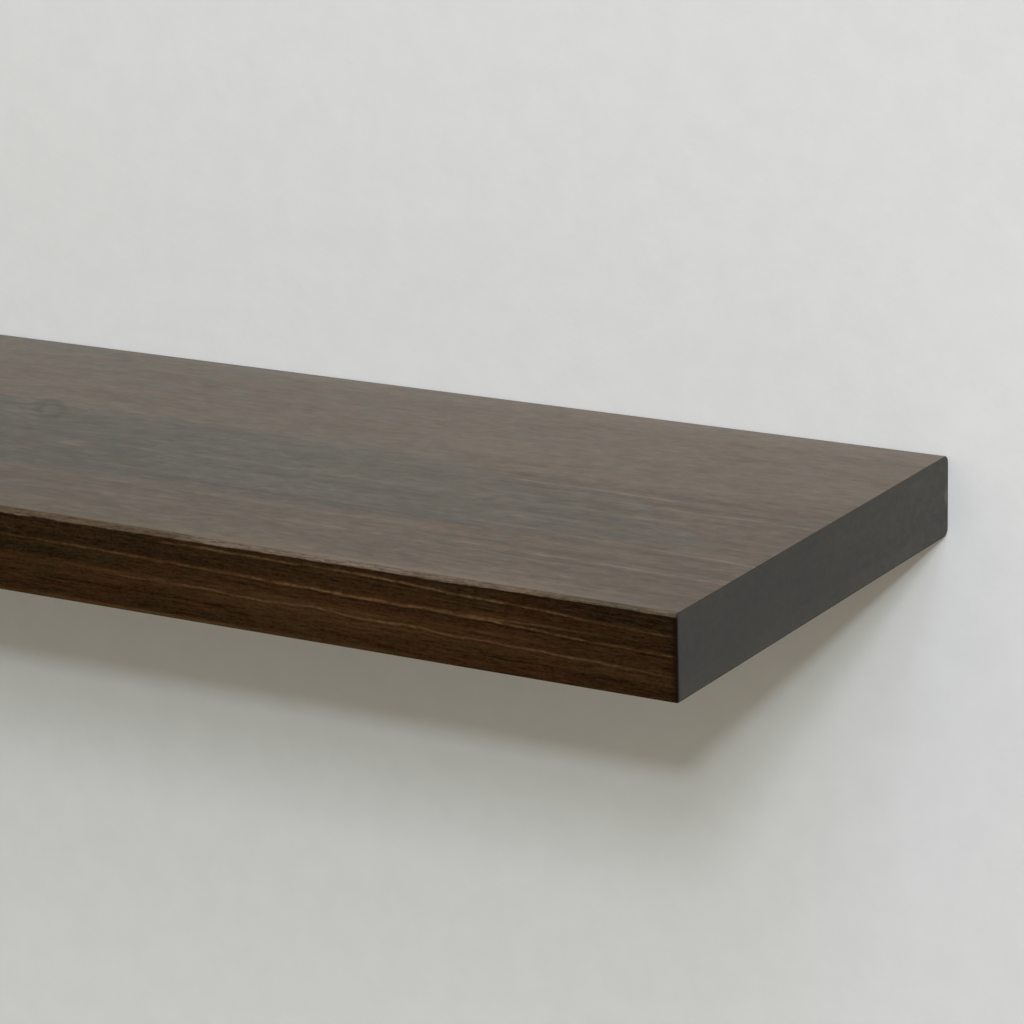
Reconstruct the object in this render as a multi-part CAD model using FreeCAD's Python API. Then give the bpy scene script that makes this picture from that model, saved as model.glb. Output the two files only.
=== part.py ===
import FreeCAD, Part
import math
import os

from FreeCAD import Vector

# Floating wall shelf: a solid plank that hides its own bracket. A flat steel bar is
# screwed to the wall, and steel rods stand out of it. The plank has a pocket for the
# bar and a blind bore for each rod, so it slides on until its back meets the wall.
# Two set screws in brass inserts then come up from the underside onto the outer rods.
#
# Frame, in millimetres: X runs along the shelf, to the right. Y points at the wall,
# so the shelf's front faces -Y. Z is up. The origin is the centre of the bar's back
# face: Y = 0 is the wall, and Z = 0 is half way through the plank's thickness.

# ---------------------------------------------------------------- plank
SHELF_LENGTH = 914.4
SHELF_DEPTH = 254.0
SHELF_THICKNESS = 38.1
REAR_ARRIS_RADIUS = 3.2
FRONT_TOP_ARRIS_RADIUS = 2.0
FRONT_BOTTOM_ARRIS_RADIUS = 1.2
END_ARRIS_CHAMFER = 0.5

# ---------------------------------------------------------------- bracket bar
BAR_END_MARGIN = 25.4           # plank left beyond each end of the bar
BAR_THICKNESS = 6.35
BAR_CORNER_RADIUS = 6.0
POCKET_LIP = 5.85               # wood above and below the pocket
POCKET_SIDE_CLEARANCE = 0.5
POCKET_FLOOR_CLEARANCE = 0.3

# ---------------------------------------------------------------- rods
ROD_COUNT = 4
ROD_DIAMETER = 12.7
ROD_END_DISTANCE = 88.9         # from the bar's end to the outer rod's axis
ROD_TIP_CHAMFER = 1.5
ROD_BORE_CLEARANCE = 0.3        # radial
ROD_TIP_CLEARANCE = 3.0         # from the rod's tip to the bottom of its bore
WOOD_AHEAD_OF_BORES = 66.85     # from the bottom of a bore to the plank's front
BORE_MOUTH_CHAMFER = 1.0

# ---------------------------------------------------------------- rod screws
ROD_SCREW_DIAMETER = 6.0
ROD_SCREW_LENGTH = 20.0
ROD_SCREW_HEAD_OVERHANG = 3.0   # the 90 degree head stands out this far all round
ROD_SCREW_HEAD_LAND = 0.3       # straight rim above the cone
ROD_SCREW_SOCKET_FLATS = 4.0
ROD_SCREW_SOCKET_DEPTH = 2.5
ROD_SCREW_HEAD_SINK = 0.1       # head below the bar's back face
ROD_SCREW_SEAT_CLEARANCE = 0.05
ROD_SCREW_HOLE_CLEARANCE = 0.2  # radial, in the bar
ROD_TAP_CLEARANCE = 0.05        # radial, in the rod's tapped end
ROD_TAP_RUN_OUT = 4.0           # tapped hole beyond the screw's tip

# ---------------------------------------------------------------- wall screw holes
WALL_HOLE_DIAMETER = 6.5
WALL_SINK_OVERHANG = 3.0        # 90 degree countersink in the bar's front face
STUD_SPACING = 406.4            # inner pair of holes
WALL_HOLE_END_DISTANCE = 25.4   # from the bar's end to the outer hole's axis

# ---------------------------------------------------------------- shelf locks
LOCK_SETBACK = 63.5             # from the wall to the lock screws' axes
LOCK_SCREW_DIAMETER = 6.0
LOCK_SCREW_RECESS = 2.4         # screw's outer end above the plank's underside
LOCK_SCREW_SOCKET_FLATS = 3.0
LOCK_SCREW_SOCKET_DEPTH = 3.5
LOCK_SCREW_CHAMFER = 0.8
INSERT_WALL = 2.0               # brass between the thread and the wood
INSERT_FLANGE_OVERHANG = 1.5
INSERT_FLANGE_THICKNESS = 1.0
INSERT_RECESS = 0.5             # flange below the plank's underside
INSERT_WEB = 1.9                # wood between the insert and the rod's bore
INSERT_DRIVE_DEPTH = 3.0        # hexagon in the flange end, to drive the insert
INSERT_DRIVE_ALLOWANCE = 0.4    # hexagon across flats, over the lock screw's diameter
INSERT_HOLE_CLEARANCE = 0.05    # radial, in the wood
THREAD_CLEARANCE = 0.1          # radial, lock screw in insert
LOCK_HOLE_CLEARANCE = 0.3       # radial, lock screw through the web

# ---------------------------------------------------------------- worked out from these
HALF_THICKNESS = SHELF_THICKNESS / 2
BAR_LENGTH = SHELF_LENGTH - 2 * BAR_END_MARGIN
BAR_HEIGHT = SHELF_THICKNESS - 2 * (POCKET_LIP + POCKET_SIDE_CLEARANCE)
POCKET_DEPTH = BAR_THICKNESS + POCKET_FLOOR_CLEARANCE
ROD_RADIUS = ROD_DIAMETER / 2
BORE_RADIUS = ROD_RADIUS + ROD_BORE_CLEARANCE
BORE_END_Y = -(SHELF_DEPTH - WOOD_AHEAD_OF_BORES)
ROD_TIP_Y = BORE_END_Y + ROD_TIP_CLEARANCE
ROD_SPAN = BAR_LENGTH - 2 * ROD_END_DISTANCE
ROD_PITCH = ROD_SPAN / (ROD_COUNT - 1)
ROD_PLACES = [ROD_PITCH * index - ROD_SPAN / 2 for index in range(ROD_COUNT)]
WALL_HOLE_OUTER_X = BAR_LENGTH / 2 - WALL_HOLE_END_DISTANCE
WALL_HOLE_PLACES = [-WALL_HOLE_OUTER_X, -STUD_SPACING / 2, STUD_SPACING / 2, WALL_HOLE_OUTER_X]
ROD_SCREW_RADIUS = ROD_SCREW_DIAMETER / 2
LOCK_SCREW_RADIUS = LOCK_SCREW_DIAMETER / 2
LOCK_PLACES = [ROD_PLACES[0], ROD_PLACES[-1]]
INSERT_RADIUS = LOCK_SCREW_RADIUS + INSERT_WALL
INSERT_FLANGE_RADIUS = INSERT_RADIUS + INSERT_FLANGE_OVERHANG
INSERT_BASE_Z = INSERT_RECESS - HALF_THICKNESS
INSERT_TOP_Z = -BORE_RADIUS - INSERT_WEB
LOCK_SCREW_BASE_Z = LOCK_SCREW_RECESS - HALF_THICKNESS
LOCK_SCREW_TIP_Z = -BORE_RADIUS

ALONG_X = Vector(1, 0, 0)
TO_FRONT = Vector(0, -1, 0)
UP = Vector(0, 0, 1)
PAST = 1.0                      # how far a cutting tool starts outside the wood or steel


# ---------------------------------------------------------------- shapes used by several pieces
def rounded_wire(corners, radii):
    """Closed wire round the corners, each one rounded by its own radius."""
    arcs = []
    for index, corner in enumerate(corners):
        to_last = (corners[index - 1] - corner).normalize()
        to_next = (corners[(index + 1) % len(corners)] - corner).normalize()
        half_angle = to_last.getAngle(to_next) / 2
        inward = (to_last + to_next).normalize()
        radius = radii[index]
        setback = radius / math.tan(half_angle)
        middle = corner + inward * (radius / math.sin(half_angle) - radius)
        arcs.append((corner + to_last * setback, middle, corner + to_next * setback))
    edges = []
    for index, arc in enumerate(arcs):
        edges.append(Part.LineSegment(arcs[index - 1][2], arc[0]).toShape())
        edges.append(Part.Arc(*arc).toShape())
    return Part.Wire(edges)


def rounded_bar(length, height, corner_radius, depth):
    """Flat bar centred on X and Z, from the wall plane towards the front."""
    x = length / 2
    z = height / 2
    corners = [Vector(-x, 0, -z), Vector(x, 0, -z), Vector(x, 0, z), Vector(-x, 0, z)]
    outline = rounded_wire(corners, [corner_radius] * len(corners))
    return Part.Face(outline).extrude(TO_FRONT * depth)


def turned(profile, axis):
    """Solid of revolution: (distance along the axis, radius) points, from the origin."""
    points = [axis * along + ALONG_X * radius for along, radius in profile]
    outline = Part.makePolygon(points + [points[0]])
    return Part.Face(outline).revolve(Vector(), axis, 360)


def hexagon_prism(across_flats, depth, axis, side):
    """Hexagonal prism from the origin along the axis, with a corner towards side."""
    corner_radius = across_flats / math.sqrt(3)
    across = axis.cross(side)
    corners = []
    for index in range(6):
        angle = math.radians(60 * index)
        corners.append((side * math.cos(angle) + across * math.sin(angle)) * corner_radius)
    return Part.Face(Part.makePolygon(corners + [corners[0]])).extrude(axis * depth)


def placed(shape, x, y, z):
    """Copy of a shape, moved to a place."""
    copy = shape.copy()
    copy.translate(Vector(x, y, z))
    return copy


# ---------------------------------------------------------------- plank
def plank_blank():
    """The plank before it is cut: eased long arrises, then a fine chamfer round each end."""
    x = -SHELF_LENGTH / 2
    corners = [
        Vector(x, -SHELF_DEPTH, -HALF_THICKNESS),
        Vector(x, 0, -HALF_THICKNESS),
        Vector(x, 0, HALF_THICKNESS),
        Vector(x, -SHELF_DEPTH, HALF_THICKNESS),
    ]
    radii = [
        FRONT_BOTTOM_ARRIS_RADIUS,
        REAR_ARRIS_RADIUS,
        REAR_ARRIS_RADIUS,
        FRONT_TOP_ARRIS_RADIUS,
    ]
    blank = Part.Face(rounded_wire(corners, radii)).extrude(ALONG_X * SHELF_LENGTH)
    end_edges = [edge for edge in blank.Edges if edge.BoundBox.XLength < END_ARRIS_CHAMFER]
    return blank.makeChamfer(END_ARRIS_CHAMFER, end_edges)


def rod_bore():
    """What the drill takes out for one rod, with the eased mouth on the pocket's floor."""
    bottom = -BORE_END_Y
    start = POCKET_DEPTH - PAST
    return turned([
        (start, 0),
        (start, BORE_RADIUS + BORE_MOUTH_CHAMFER + PAST),
        (POCKET_DEPTH + BORE_MOUTH_CHAMFER, BORE_RADIUS),
        (bottom, BORE_RADIUS),
        (bottom, 0),
    ], TO_FRONT)


def lock_hole():
    """Stepped hole for one insert and its lock screw, from below up into the rod's bore."""
    start = -HALF_THICKNESS - PAST
    flange_top = INSERT_BASE_Z + INSERT_FLANGE_THICKNESS
    flange_radius = INSERT_FLANGE_RADIUS + INSERT_HOLE_CLEARANCE
    body_radius = INSERT_RADIUS + INSERT_HOLE_CLEARANCE
    screw_radius = LOCK_SCREW_RADIUS + LOCK_HOLE_CLEARANCE
    return turned([
        (start, 0),
        (start, flange_radius),
        (flange_top, flange_radius),
        (flange_top, body_radius),
        (INSERT_TOP_Z, body_radius),
        (INSERT_TOP_Z, screw_radius),
        (0, screw_radius),
        (0, 0),
    ], UP)


def shelf_board():
    """Solid plank with the bar's pocket, the rods' bores and the lock screws' holes."""
    pocket = rounded_bar(
        BAR_LENGTH + 2 * POCKET_SIDE_CLEARANCE,
        BAR_HEIGHT + 2 * POCKET_SIDE_CLEARANCE,
        BAR_CORNER_RADIUS + POCKET_SIDE_CLEARANCE,
        POCKET_DEPTH + PAST,
    )
    cuts = [placed(pocket, 0, PAST, 0)]
    cuts += [placed(rod_bore(), x, 0, 0) for x in ROD_PLACES]
    cuts += [placed(lock_hole(), x, -LOCK_SETBACK, 0) for x in LOCK_PLACES]
    return plank_blank().cut(cuts)


# ---------------------------------------------------------------- bracket
def wall_screw_hole():
    """Hole for one wall screw, countersunk in the bar's front face."""
    radius = WALL_HOLE_DIAMETER / 2
    front = BAR_THICKNESS
    return turned([
        (-PAST, 0),
        (-PAST, radius),
        (front - WALL_SINK_OVERHANG, radius),
        (front + PAST, radius + WALL_SINK_OVERHANG + PAST),
        (front + PAST, 0),
    ], TO_FRONT)


def rod_screw_hole():
    """Hole for one rod screw, countersunk in the bar's back face."""
    radius = ROD_SCREW_RADIUS + ROD_SCREW_HOLE_CLEARANCE
    rim = ROD_SCREW_RADIUS + ROD_SCREW_HEAD_OVERHANG + ROD_SCREW_HOLE_CLEARANCE
    cone_start = ROD_SCREW_HEAD_SINK + ROD_SCREW_HEAD_LAND + ROD_SCREW_SEAT_CLEARANCE
    return turned([
        (-PAST, 0),
        (-PAST, rim),
        (cone_start, rim),
        (cone_start + rim - radius, radius),
        (BAR_THICKNESS + PAST, radius),
        (BAR_THICKNESS + PAST, 0),
    ], TO_FRONT)


def bracket_bar():
    """Flat steel bar with its wall screw holes and rod screw holes."""
    cuts = [placed(wall_screw_hole(), x, 0, 0) for x in WALL_HOLE_PLACES]
    cuts += [placed(rod_screw_hole(), x, 0, 0) for x in ROD_PLACES]
    return rounded_bar(BAR_LENGTH, BAR_HEIGHT, BAR_CORNER_RADIUS, BAR_THICKNESS).cut(cuts)


def support_rod():
    """Round steel rod with a chamfered tip and a hole tapped in its wall end."""
    tip = -ROD_TIP_Y
    tap_radius = ROD_SCREW_RADIUS + ROD_TAP_CLEARANCE
    tap_end = ROD_SCREW_HEAD_SINK + ROD_SCREW_LENGTH + ROD_TAP_RUN_OUT
    tap_point = tap_end + tap_radius
    return turned([
        (BAR_THICKNESS, tap_radius),
        (BAR_THICKNESS, ROD_RADIUS),
        (tip - ROD_TIP_CHAMFER, ROD_RADIUS),
        (tip, ROD_RADIUS - ROD_TIP_CHAMFER),
        (tip, 0),
        (tap_point, 0),
        (tap_end, tap_radius),
    ], TO_FRONT)


def rod_screw():
    """Countersunk socket screw that holds one rod to the bar from behind."""
    back = ROD_SCREW_HEAD_SINK
    head_radius = ROD_SCREW_RADIUS + ROD_SCREW_HEAD_OVERHANG
    cone_start = back + ROD_SCREW_HEAD_LAND
    cone_end = cone_start + ROD_SCREW_HEAD_OVERHANG
    tip = back + ROD_SCREW_LENGTH
    body = turned([
        (back, 0),
        (back, head_radius),
        (cone_start, head_radius),
        (cone_end, ROD_SCREW_RADIUS),
        (tip - ROD_SCREW_RADIUS / 2, ROD_SCREW_RADIUS),
        (tip, ROD_SCREW_RADIUS / 2),
        (tip, 0),
    ], TO_FRONT)
    socket = hexagon_prism(
        ROD_SCREW_SOCKET_FLATS, ROD_SCREW_SOCKET_DEPTH + PAST, TO_FRONT, ALONG_X)
    return body.cut(placed(socket, 0, PAST - back, 0))


# ---------------------------------------------------------------- shelf locks
def lock_insert():
    """Flanged brass insert, threaded for the lock screw, with a hexagon to drive it."""
    bore_radius = LOCK_SCREW_RADIUS + THREAD_CLEARANCE
    flange_top = INSERT_BASE_Z + INSERT_FLANGE_THICKNESS
    body = turned([
        (INSERT_BASE_Z, bore_radius),
        (INSERT_BASE_Z, INSERT_FLANGE_RADIUS),
        (flange_top, INSERT_FLANGE_RADIUS),
        (flange_top, INSERT_RADIUS),
        (INSERT_TOP_Z, INSERT_RADIUS),
        (INSERT_TOP_Z, bore_radius),
    ], UP)
    drive = hexagon_prism(
        LOCK_SCREW_DIAMETER + INSERT_DRIVE_ALLOWANCE, INSERT_DRIVE_DEPTH + PAST, UP, ALONG_X)
    return body.cut(placed(drive, 0, 0, INSERT_BASE_Z - PAST))


def lock_screw():
    """Socket set screw that comes up through the insert to the rod."""
    inner_radius = LOCK_SCREW_RADIUS - LOCK_SCREW_CHAMFER
    body = turned([
        (LOCK_SCREW_BASE_Z, 0),
        (LOCK_SCREW_BASE_Z, inner_radius),
        (LOCK_SCREW_BASE_Z + LOCK_SCREW_CHAMFER, LOCK_SCREW_RADIUS),
        (LOCK_SCREW_TIP_Z - LOCK_SCREW_CHAMFER, LOCK_SCREW_RADIUS),
        (LOCK_SCREW_TIP_Z, inner_radius),
        (LOCK_SCREW_TIP_Z, 0),
    ], UP)
    socket = hexagon_prism(
        LOCK_SCREW_SOCKET_FLATS, LOCK_SCREW_SOCKET_DEPTH + PAST, UP, ALONG_X)
    return body.cut(placed(socket, 0, 0, LOCK_SCREW_BASE_Z - PAST))


# ---------------------------------------------------------------- assembly
def all_parts():
    """Every piece by its name, in its place on the wall."""
    parts = {
        "shelf_board": shelf_board(),
        "bracket_bar": bracket_bar(),
    }
    for number, x in enumerate(ROD_PLACES, start=1):
        parts[f"support_rod_{number}"] = placed(support_rod(), x, 0, 0)
        parts[f"rod_screw_{number}"] = placed(rod_screw(), x, 0, 0)
    for number, x in enumerate(LOCK_PLACES, start=1):
        parts[f"lock_insert_{number}"] = placed(lock_insert(), x, -LOCK_SETBACK, 0)
        parts[f"lock_screw_{number}"] = placed(lock_screw(), x, -LOCK_SETBACK, 0)
    return parts


os.makedirs("parts", exist_ok=True)
for name, shape in all_parts().items():
    shape.exportStep(f"parts/{name}.step")
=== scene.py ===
"""Floating wall shelf: the visual model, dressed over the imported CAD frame.

The plank is a mesh of its own with hand-eased edges, a stopped pocket, four rod bores and two lock
holes, all sized from the CAD nodes. The bar, rods, screws and inserts keep their CAD shapes.
Everything is in metres in the row frame: +X right, -Y towards the room, +Z up, wall at y = 0.
"""

import math

import bmesh
import bpy
from mathutils import Matrix, Vector, noise


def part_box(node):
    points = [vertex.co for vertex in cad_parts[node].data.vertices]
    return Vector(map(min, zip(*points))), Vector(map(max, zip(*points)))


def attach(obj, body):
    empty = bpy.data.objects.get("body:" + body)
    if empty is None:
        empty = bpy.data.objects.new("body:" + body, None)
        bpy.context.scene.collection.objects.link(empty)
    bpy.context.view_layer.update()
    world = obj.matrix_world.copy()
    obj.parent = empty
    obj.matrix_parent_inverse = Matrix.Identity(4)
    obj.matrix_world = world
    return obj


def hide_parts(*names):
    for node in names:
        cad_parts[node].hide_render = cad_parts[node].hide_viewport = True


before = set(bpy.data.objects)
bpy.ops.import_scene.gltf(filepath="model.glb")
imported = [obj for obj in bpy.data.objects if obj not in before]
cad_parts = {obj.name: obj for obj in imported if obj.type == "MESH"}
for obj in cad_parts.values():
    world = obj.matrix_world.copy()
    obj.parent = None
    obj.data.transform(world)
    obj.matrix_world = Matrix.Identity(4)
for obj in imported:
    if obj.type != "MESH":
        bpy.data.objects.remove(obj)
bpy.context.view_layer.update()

MM = 0.001

# ------------------------------ camera
CAMERA_PLACE = (1.17708, -1.55862, 0.50863)
CAMERA_YAW = math.radians(31.3686)
CAMERA_PITCH = math.radians(16.6645)
CAMERA_ROLL = math.radians(-1.6615)
CAMERA_LENS = 138.883
CAMERA_SENSOR = 36.0

# ------------------------------ plank, in mm
REAR_ARRIS = 3.2
# Radius of the hand-eased front-top arris along x.
FRONT_TOP_ARRIS = (
    (-460, 2.4), (-250, 3.2), (-60, 2.5), (80, 3.7), (200, 3.8), (240, 3.0), (275, 2.4),
    (340, 2.3), (385, 2.0), (405, 1.5), (445, 1.5), (460, 1.7),
)
FRONT_BOTTOM_ARRIS = 0.6
END_ARRIS = 0.5
END_LOW_ARRIS = 1.3
# How far from the end the rounded end's cross-sections are.
END_RINGS = (0.75, 0.5, 0.3, 0.15, 0.05, 0.0)
# How far the eased edges' radii swing along the plank, over which lengths, and the sections' spacing.
ARRIS_SWING = 0.175
TOP_WOBBLE_LENGTH = 46.0
LOW_WOBBLE_LENGTH = 60.0
STATION_STEP = 4.0
# Steps round the outline: rear, bottom front and top front arrises, underside, front and top.
REAR_ARC_STEPS = 7
LOW_ARC_STEPS = 5
TOP_ARC_STEPS = 8
UNDERSIDE_STEPS = 8
FRONT_STEPS = 6
TOP_STEPS = 16
# Edges sharper than this stay sharp.
SMOOTH_ANGLE = math.radians(32)
# Holes round the CAD pieces. The pocket is open at the back.
POCKET_SIDE_CLEARANCE = 0.5
POCKET_FLOOR_CLEARANCE = 0.3
POCKET_CORNER = 6.5
POCKET_ARC_STEPS = 10
BORE_CLEARANCE = 0.3
BORE_TIP_CLEARANCE = 3.0
BORE_MOUTH_CHAMFER = 1.0
INSERT_RADIUS = 5.05
FLANGE_RADIUS = 6.55
FLANGE_FLOOR = -17.55
INSERT_TOP = -8.55
LOCK_SHANK_RADIUS = 3.3
CUT_OVERRUN = 2.0
ROUND_STEPS = 64

# ------------------------------ light
# Each soft lamp: degrees to the right of straight out, degrees up, distance, width and height in metres,
# level (1 shows a colour as written) and colour.
LAMP_TARGET = (0.25, -0.10, 0.0)
KEY = (29.3, 24.6, 6.0, 0.34, 0.24, 0.249, (0.86, 1.0, 1.03))
SECOND = (28.2, 30.9, 6.0, 0.85, 0.95, 0.286, (0.965, 1.0, 1.154))
HIGH = (25.0, 52.5, 5.3, 1.39, 3.09, 0.135, (0.93, 1.0, 1.55))
REAR_FILL = (196.0, -33.0, 2.8, 1.3, 1.3, 0.80, (1.0, 1.0, 1.0))
# Light from the room: from above, from all round, and a little warmer from the right.
ROOM_ABOVE = (1.00, 0.97, 0.72)
ROOM_SIDE = (0.45, 0.45, 0.40)
ROOM_RIGHT = (0.40, 0.16, 0.02)
BACKDROP = (0.485, 0.480, 0.455)
WALL_COLOUR = (0.725, 0.725, 0.722)
FLOOR_COLOUR = (0.48, 0.48, 0.47)
FLOOR_SEEN = (0.56, 0.565, 0.585)
FLOOR_DIM = 0.5
PAINT_UNEVENNESS = 0.03
FLOOR_HEIGHT = -1.35
STAGE_REACH = 6.0
FLOOR_REACH = 40.0
WALL_GAP = 0.5


# ============================== shader wiring
class Wiring:
    """Short calls that add nodes to one node tree and link them."""

    def __init__(self, tree):
        self.tree = tree
        tree.nodes.clear()

    def node(self, kind, **settings):
        made = self.tree.nodes.new(kind)
        for key, value in settings.items():
            setattr(made, key, value)
        return made

    def put(self, socket, value):
        """Links an output to the socket, or sets the socket's own value."""
        if isinstance(value, bpy.types.NodeSocket):
            self.tree.links.new(value, socket)
        elif socket.type == "RGBA" and len(value) == 3:
            socket.default_value = (*value, 1.0)
        else:
            socket.default_value = value

    def fill(self, made, *values):
        """Puts the values on a node's first inputs and gives its first output."""
        for socket, value in zip(made.inputs, values):
            self.put(socket, value)
        return made.outputs[0]

    def math(self, operation, a, b=0.0, clamp=False):
        return self.fill(self.node("ShaderNodeMath", operation=operation, use_clamp=clamp), a, b)

    def add(self, total, *values):
        for value in values:
            total = self.math("ADD", total, value)
        return total

    def sub(self, a, b):
        return self.math("SUBTRACT", a, b)

    def mul(self, product, *values):
        for value in values:
            product = self.math("MULTIPLY", product, value)
        return product

    def absolute(self, value):
        return self.math("ABSOLUTE", value)

    def blend(self, *shares):
        """The sum of pairs of a value and its share."""
        return self.add(*[self.mul(*share) for share in shares])

    def swing(self, pattern, reach):
        """A noise, which has its middle at 0.5, as a push to both sides of 0."""
        return self.mul(self.sub(pattern, 0.5), reach)

    def vector(self, operation, a, b):
        return self.fill(self.node("ShaderNodeVectorMath", operation=operation), a, b)

    def scaled(self, a, factor):
        made = self.node("ShaderNodeVectorMath", operation="SCALE")
        self.put(made.inputs["Scale"], factor)
        return self.fill(made, a)

    def tinted(self, colour, tint, amount):
        """The colour with amount times the tint added."""
        return self.vector("ADD", colour, self.scaled(tint, amount))

    def join(self, x, y, z):
        return self.fill(self.node("ShaderNodeCombineXYZ"), x, y, z)

    def split(self, value):
        made = self.node("ShaderNodeSeparateXYZ")
        self.put(made.inputs[0], value)
        return made.outputs

    def span(self, value, low, high, out_low=0.0, out_high=1.0, kind="SMOOTHSTEP"):
        """value from low..high to out_low..out_high, held at both ends."""
        made = self.node("ShaderNodeMapRange", interpolation_type=kind)
        return self.fill(made, value, low, high, out_low, out_high)

    def ratio(self, value, low, high, out_low=0.0, out_high=1.0):
        """The same as a straight line."""
        return self.span(value, low, high, out_low, out_high, "LINEAR")

    def fall(self, value, low, high):
        """1 below low, 0 above high."""
        return self.span(value, low, high, 1.0, 0.0)

    def mix(self, factor, a, b):
        """Mixes two colours."""
        made = self.node("ShaderNodeMix", data_type="RGBA")
        self.put(made.inputs["Factor"], factor)
        self.put(made.inputs[6], a)
        self.put(made.inputs[7], b)
        return made.outputs[2]

    def noise(self, vector, detail=2.0, rough=0.5):
        """Noise of this detail and roughness, about 0.5."""
        made = self.node("ShaderNodeTexNoise")
        self.put(made.inputs["Vector"], vector)
        self.put(made.inputs["Scale"], 1.0)
        self.put(made.inputs["Detail"], detail)
        self.put(made.inputs["Roughness"], rough)
        return made.outputs[0]

    def grain(self, x, y, z, detail=2.0, rough=0.5):
        """Noise at x, y and z. Each is a value, a number, or a pair of a value and its factor."""
        parts = [self.mul(*part) if isinstance(part, tuple) else part for part in (x, y, z)]
        return self.noise(self.join(*parts), detail, rough)

    def ramp(self, value, stops):
        """Colour ramp with stops (position, colour)."""
        made = self.node("ShaderNodeValToRGB")
        self.put(made.inputs[0], value)
        parts = made.color_ramp.elements
        while len(parts) < len(stops):
            parts.new(0.5)
        for part, (position, colour) in zip(parts, stops):
            part.position = position
            part.color = (*colour, 1.0)
        return made.outputs[0]

    def curve(self, value, points):
        """A smooth curve through the points (input, output), in their own units."""
        ins, outs = zip(*points)
        low, high = min(outs), max(outs)
        reach = max(high - low, 1e-6)
        shaped = self.node("ShaderNodeFloatCurve")
        self.put(shaped.inputs["Value"], self.ratio(value, ins[0], ins[-1]))
        run = shaped.mapping.curves[0]
        while len(run.points) < len(points):
            run.points.new(0.5, 0.5)
        for spot, (x, y) in zip(run.points, points):
            spot.location = ((x - ins[0]) / (ins[-1] - ins[0]), (y - low) / reach)
            spot.handle_type = "AUTO_CLAMPED"
        shaped.mapping.update()
        return self.ratio(shaped.outputs[0], 0.0, 1.0, low, high)

    def bump(self, height, strength, distance):
        made = self.node("ShaderNodeBump")
        self.put(made.inputs["Strength"], strength)
        self.put(made.inputs["Distance"], distance)
        self.put(made.inputs["Height"], height)
        return made.outputs[0]


def new_material(name):
    """An empty material, its wiring, and the place on the object in mm."""
    material = bpy.data.materials.new(name)
    material.use_nodes = True
    w = Wiring(material.node_tree)
    return material, w, w.scaled(w.node("ShaderNodeTexCoord").outputs["Object"], 1.0 / MM)


def finish_surface(w, colour, roughness, relief, **plain):
    """The Principled shader, with patterns linked to it and plain values on its own sockets."""
    shader = w.node("ShaderNodeBsdfPrincipled")
    w.put(shader.inputs["Base Color"], colour)
    w.put(shader.inputs["Roughness"], roughness)
    w.put(shader.inputs["Normal"], relief)
    for key, value in plain.items():
        w.put(shader.inputs[key.replace("_", " ")], value)
    out = w.node("ShaderNodeOutputMaterial")
    w.put(out.inputs["Surface"], shader.outputs[0])


# ============================== wood
# Places are in mm: x along the plank, y over its top, z over its front edge.
# Tones are display levels: red for the front edge, green for the top, as the stain looks in plain light.

# The growth rings drop towards the right end by this much.
RING_DROP = (
    (-460, 1.5), (-300, 0.4), (-120, 1.1), (0, 0.6), (110, 0), (190, 0.4),
    (240, 1.2), (290, 1.7), (340, 3), (390, 4.2), (460, 6.3),
)
# Tone of the front edge across the rings, by height once the drop is taken out.
RING_TONE = (
    (-22, 51), (-18.2, 52), (-15, 44), (-13, 45), (-11, 46), (-9, 46), (-6.5, 52), (-4, 54), (-1, 51),
    (1.5, 48), (3.5, 47), (5.2, 49), (7.5, 46), (9, 43), (12, 43), (15, 43), (17.5, 41), (25, 38),
)
FRONT_ALONG = (
    (-460, -2), (-200, 1), (0, -2), (110, -5), (200, -4), (285, 2.5), (380, 0), (425, -2), (460, -5),
)
# Light lines of the front edge: height and strength in levels along x.
LINE_A = (
    (190, 15.7), (198, 15.25), (206, 15), (214, 14.85), (222, 14.65), (232, 14.55), (246, 14.55),
    (262, 14.35), (270, 14.4), (282, 14.75), (292, 14.8), (303, 14.35), (325, 13.6), (345, 12.5),
    (365, 11.9), (385, 11.4), (405, 10.6), (425, 9.8), (460, 8.7),
)
LINE_A_LEVELS = (
    (172, 0), (182, -5), (190, -9), (198, -1), (206, 11), (214, 17), (222, 19), (232, 25), (246, 19),
    (254, 25), (262, 22), (272, 17), (286, 11), (294, 21), (305, 28), (327, 34), (345, 19), (365, 27),
    (384, 27), (396, 26), (405, 20), (430, 14), (460, 14),
)
LINE_B = (
    (-460, 5.4), (-150, 6.6), (110, 7.2), (165, 6.8), (205, 6.1), (225, 5.7), (245, 5.2), (265, 4.8),
    (305, 4), (345, 3.6), (365, 3.3), (385, 2.5), (405, 1.6), (425, 1.1), (460, 0.3),
)
LINE_B_LEVELS = (
    (-460, 12), (-200, 16), (0, 10), (110, 11), (140, 17), (165, 20), (185, 15), (215, 16), (245, 17),
    (266, 33), (305, 35), (340, 26), (370, 27), (385, 20), (412, 18), (430, 13), (460, 15),
)
# Over how many mm line B fades upwards. It forks towards the right end.
LINE_B_SOFT = ((350, 1.5), (395, 0.9))
FORK = ((330, 4.8), (365, 4.3), (385, 4.1), (410, 4.7))
FORK_LEVELS = ((335, 0), (362, 16), (385, 20), (405, 12), (425, 0))
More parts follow.
